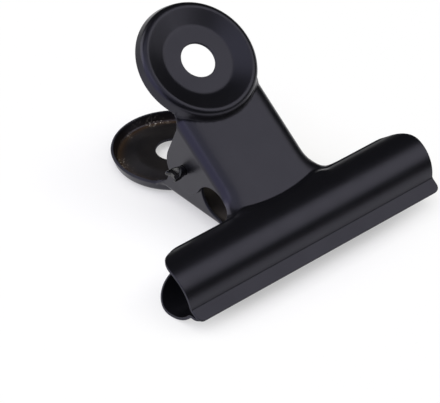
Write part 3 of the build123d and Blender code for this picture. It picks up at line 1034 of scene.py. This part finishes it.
def wire_tree():
    """Node tree that draws round wire along the edges of a mesh."""
    tree = bpy.data.node_groups.new("Drawn wire", "GeometryNodeTree")
    for name, way, kind in (
        ("Path", "INPUT", "NodeSocketGeometry"),
        ("Wire diameter", "INPUT", "NodeSocketFloat"),
        ("Sides", "INPUT", "NodeSocketInt"),
        ("Finish", "INPUT", "NodeSocketMaterial"),
        ("Wire", "OUTPUT", "NodeSocketGeometry"),
    ):
        tree.interface.new_socket(name, in_out=way, socket_type=kind)
    given = add(tree, "NodeGroupInput").outputs
    curve = add(tree, "GeometryNodeMeshToCurve", {"Mesh": given["Path"]})
    spline = add(tree, "GeometryNodeSplineParameter")
    marked = add(
        tree, "GeometryNodeStoreNamedAttribute",
        {"Geometry": curve.outputs["Curve"], "Name": "along", "Value": spline.outputs["Length"]},
        data_type="FLOAT", domain="POINT",
    )
    radius = add(tree, "ShaderNodeMath", {0: given["Wire diameter"], 1: 0.5}, operation="MULTIPLY")
    ring = add(
        tree, "GeometryNodeCurvePrimitiveCircle",
        {"Resolution": given["Sides"], "Radius": radius.outputs["Value"]},
    )
    around = add(tree, "GeometryNodeSplineParameter")
    ring_marked = add(
        tree, "GeometryNodeStoreNamedAttribute",
        {"Geometry": ring.outputs["Curve"], "Name": "around", "Value": around.outputs["Factor"]},
        data_type="FLOAT", domain="POINT",
    )
    wire = add(
        tree, "GeometryNodeCurveToMesh",
        {
            "Curve": marked.outputs["Geometry"],
            "Profile Curve": ring_marked.outputs["Geometry"],
            "Fill Caps": True,
        },
    )
    smooth = add(
        tree, "GeometryNodeSetShadeSmooth",
        {"Geometry": wire.outputs["Mesh"], "Shade Smooth": True},
    )
    real = add(tree, "GeometryNodeRealizeInstances", {"Geometry": smooth.outputs["Geometry"]})
    finished = add(
        tree, "GeometryNodeSetMaterial",
        {"Geometry": real.outputs["Geometry"], "Material": given["Finish"]},
    )
    add(tree, "NodeGroupOutput", {"Wire": finished.outputs["Geometry"]})
    return tree


def drawn_wire(name, path, values):
    """Mesh of round wire along a path, from the wire tree with its named inputs set."""
    line = bpy.data.meshes.new(f"{name}_path")
    line.from_pydata(path, [(place, place + 1) for place in range(len(path) - 1)], [])
    holder = bpy.data.objects.new(f"{name}_path", line)
    bpy.context.scene.collection.objects.link(holder)
    modifier = holder.modifiers.new("Wire", "NODES")
    tree = wire_tree()
    modifier.node_group = tree
    for item in tree.interface.items_tree:
        if item.in_out == "INPUT" and item.name in values:
            modifier[item.identifier] = values[item.name]
    ready = holder.evaluated_get(bpy.context.evaluated_depsgraph_get())
    mesh = bpy.data.meshes.new_from_object(ready)
    mesh.name = name
    bpy.data.objects.remove(holder)
    return mesh


class CLIP_OT_make_spring(bpy.types.Operator):
    """Winds the torsion spring that sits between the two plates"""

    bl_idname = "clip.make_spring"
    bl_label = "Make spring"

    def execute(self, context):
        sizes, plates = context.scene.clip_spring, context.scene.clip_plates
        upper, lower, _ = seats(context.scene)
        ear_inside = plates.neck_width / 2 - 2 * plates.sheet - plates.ear_gap
        path = spring_path(sizes, plates, upper, lower, ear_inside)
        material = spring_material(context.scene.clip_finish)
        values = {"Wire diameter": sizes.wire, "Sides": WIRE_SIDES, "Finish": material}
        mesh = drawn_wire("torsion_spring_wire", path, values)
        piece = new_piece("torsion_spring_wire", mesh, material, "torsion_spring")
        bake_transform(piece)
        return {"FINISHED"}


# Soft boxes: azimuth, elevation, distance, width, radiance, colour and whether gloss shows them
LAMPS = {
    "key_softbox": (48, 46, 0.8, 0.55, 1.5, "#ffffff", True),
    "overhead_softbox": (-40, 72, 0.9, 0.8, 1.0, "#eef0ff", True),
    "left_softbox": (-92, 30, 0.9, 1.1, 1.3, "#dcdbff", True),
    "rear_softbox": (-145, 32, 0.9, 0.7, 1.9, "#ffffff", True),
    "ceiling_fill": (180, 88, 1.2, 1.6, 1.2, "#ffffff", False),
}


def heading(azimuth, elevation):
    """Direction from the clip to a place round it: azimuth 0 is in front, and +X lies to its right."""
    return Vector((sin(azimuth) * cos(elevation), -cos(azimuth) * cos(elevation), sin(elevation)))


def soft_lamp(name, azimuth, elevation, distance, width, radiance, code, in_gloss):
    """A square soft box turned to the clip, as bright as a white surface of the given radiance."""
    lamp = bpy.data.lights.new(name, "AREA")
    lamp.shape = "SQUARE"
    lamp.size = width
    lamp.energy = radiance * pi * width**2
    lamp.color = linear(code)[:3]
    way = heading(radians(azimuth), radians(elevation))
    holder = bpy.data.objects.new(name, lamp)
    holder.location = way * distance
    holder.visible_glossy = in_gloss
    holder.rotation_euler = (-way).to_track_quat("-Z", "Y").to_euler()
    bpy.context.scene.collection.objects.link(holder)


class CLIP_OT_make_stage(bpy.types.Operator):
    """Lays the floor, and sets the lamps, the world and the camera"""

    bl_idname = "clip.make_stage"
    bl_label = "Make stage"

    def execute(self, context):
        scene = context.scene
        stage = scene.clip_stage
        mesh = bpy.data.meshes.new("floor")
        corners = [(x * FLOOR_HALF, y * FLOOR_HALF, 0) for x, y in ((-1, -1), (1, -1), (1, 1), (-1, 1))]
        mesh.from_pydata(corners, [], [(0, 1, 2, 3)])
        mesh.materials.append(floor_material(scene.clip_finish))
        floor = bpy.data.objects.new("floor", mesh)
        scene.collection.objects.link(floor)
        for name, settings in LAMPS.items():
            soft_lamp(name, *settings)
        world = bpy.data.worlds.new("Plain studio")
        world.use_nodes = True
        tree = world.node_tree
        tree.nodes.clear()
        room = add(tree, "ShaderNodeBackground", {"Color": (1, 1, 1, 1), "Strength": 0.02})
        add(tree, "ShaderNodeOutputWorld", {"Surface": room.outputs["Background"]})
        scene.world = world
        camera = bpy.data.cameras.new("camera")
        camera.sensor_width = SENSOR
        camera.lens = SENSOR * stage.focal_pixels / PHOTO_WIDTH
        camera.clip_end = 10
        back = heading(stage.azimuth, stage.elevation)
        right = Vector((cos(stage.azimuth), sin(stage.azimuth), 0))
        turn = Matrix((right, back.cross(right), back)).transposed() @ Matrix.Rotation(stage.roll, 3, "Z")
        holder = bpy.data.objects.new("camera", camera)
        holder.matrix_world = Matrix.Translation(Vector(stage.aim) + back * stage.distance) @ turn.to_4x4()
        scene.collection.objects.link(holder)
        scene.camera = holder
        scene.view_settings.view_transform = "Standard"
        return {"FINISHED"}


class CLIP_PT_sidebar(bpy.types.Panel):
    """Sizes, finishes and steps of the clip"""

    bl_idname = "CLIP_PT_sidebar"
    bl_label = "Bulldog clip"
    bl_space_type = "VIEW_3D"
    bl_region_type = "UI"
    bl_category = "Clip"

    def draw(self, context):
        for operator in OPERATORS:
            self.layout.operator(operator.bl_idname)
        for name, group in GROUPS.items():
            box = self.layout.box()
            box.label(text=group.__doc__)
            for key in group.__annotations__:
                box.prop(getattr(context.scene, name), key)


GROUPS = {
    "clip_plates": ClipPlateSizes,
    "clip_discs": ClipDiscSizes,
    "clip_pin": ClipPinSizes,
    "clip_spring": ClipSpringSizes,
    "clip_finish": ClipFinish,
    "clip_stage": ClipStage,
}
OPERATORS = (CLIP_OT_make_plates, CLIP_OT_make_pin, CLIP_OT_make_spring, CLIP_OT_make_stage)


def register():
    """Registers the classes and hangs the property groups on the scene."""
    for group in (*GROUPS.values(), *OPERATORS, CLIP_PT_sidebar):
        bpy.utils.register_class(group)
    for name, group in GROUPS.items():
        setattr(bpy.types.Scene, name, bpy.props.PointerProperty(type=group))


def unregister():
    """Takes the property groups and the classes out again."""
    for name in GROUPS:
        delattr(bpy.types.Scene, name)
    for group in reversed((*GROUPS.values(), *OPERATORS, CLIP_PT_sidebar)):
        bpy.utils.unregister_class(group)


def main():
    """Registers the classes, and makes every piece and the stage."""
    register()
    bpy.ops.clip.make_plates()
    bpy.ops.clip.make_pin()
    bpy.ops.clip.make_spring()
    bpy.ops.clip.make_stage()


if __name__ == "__main__":
    main()
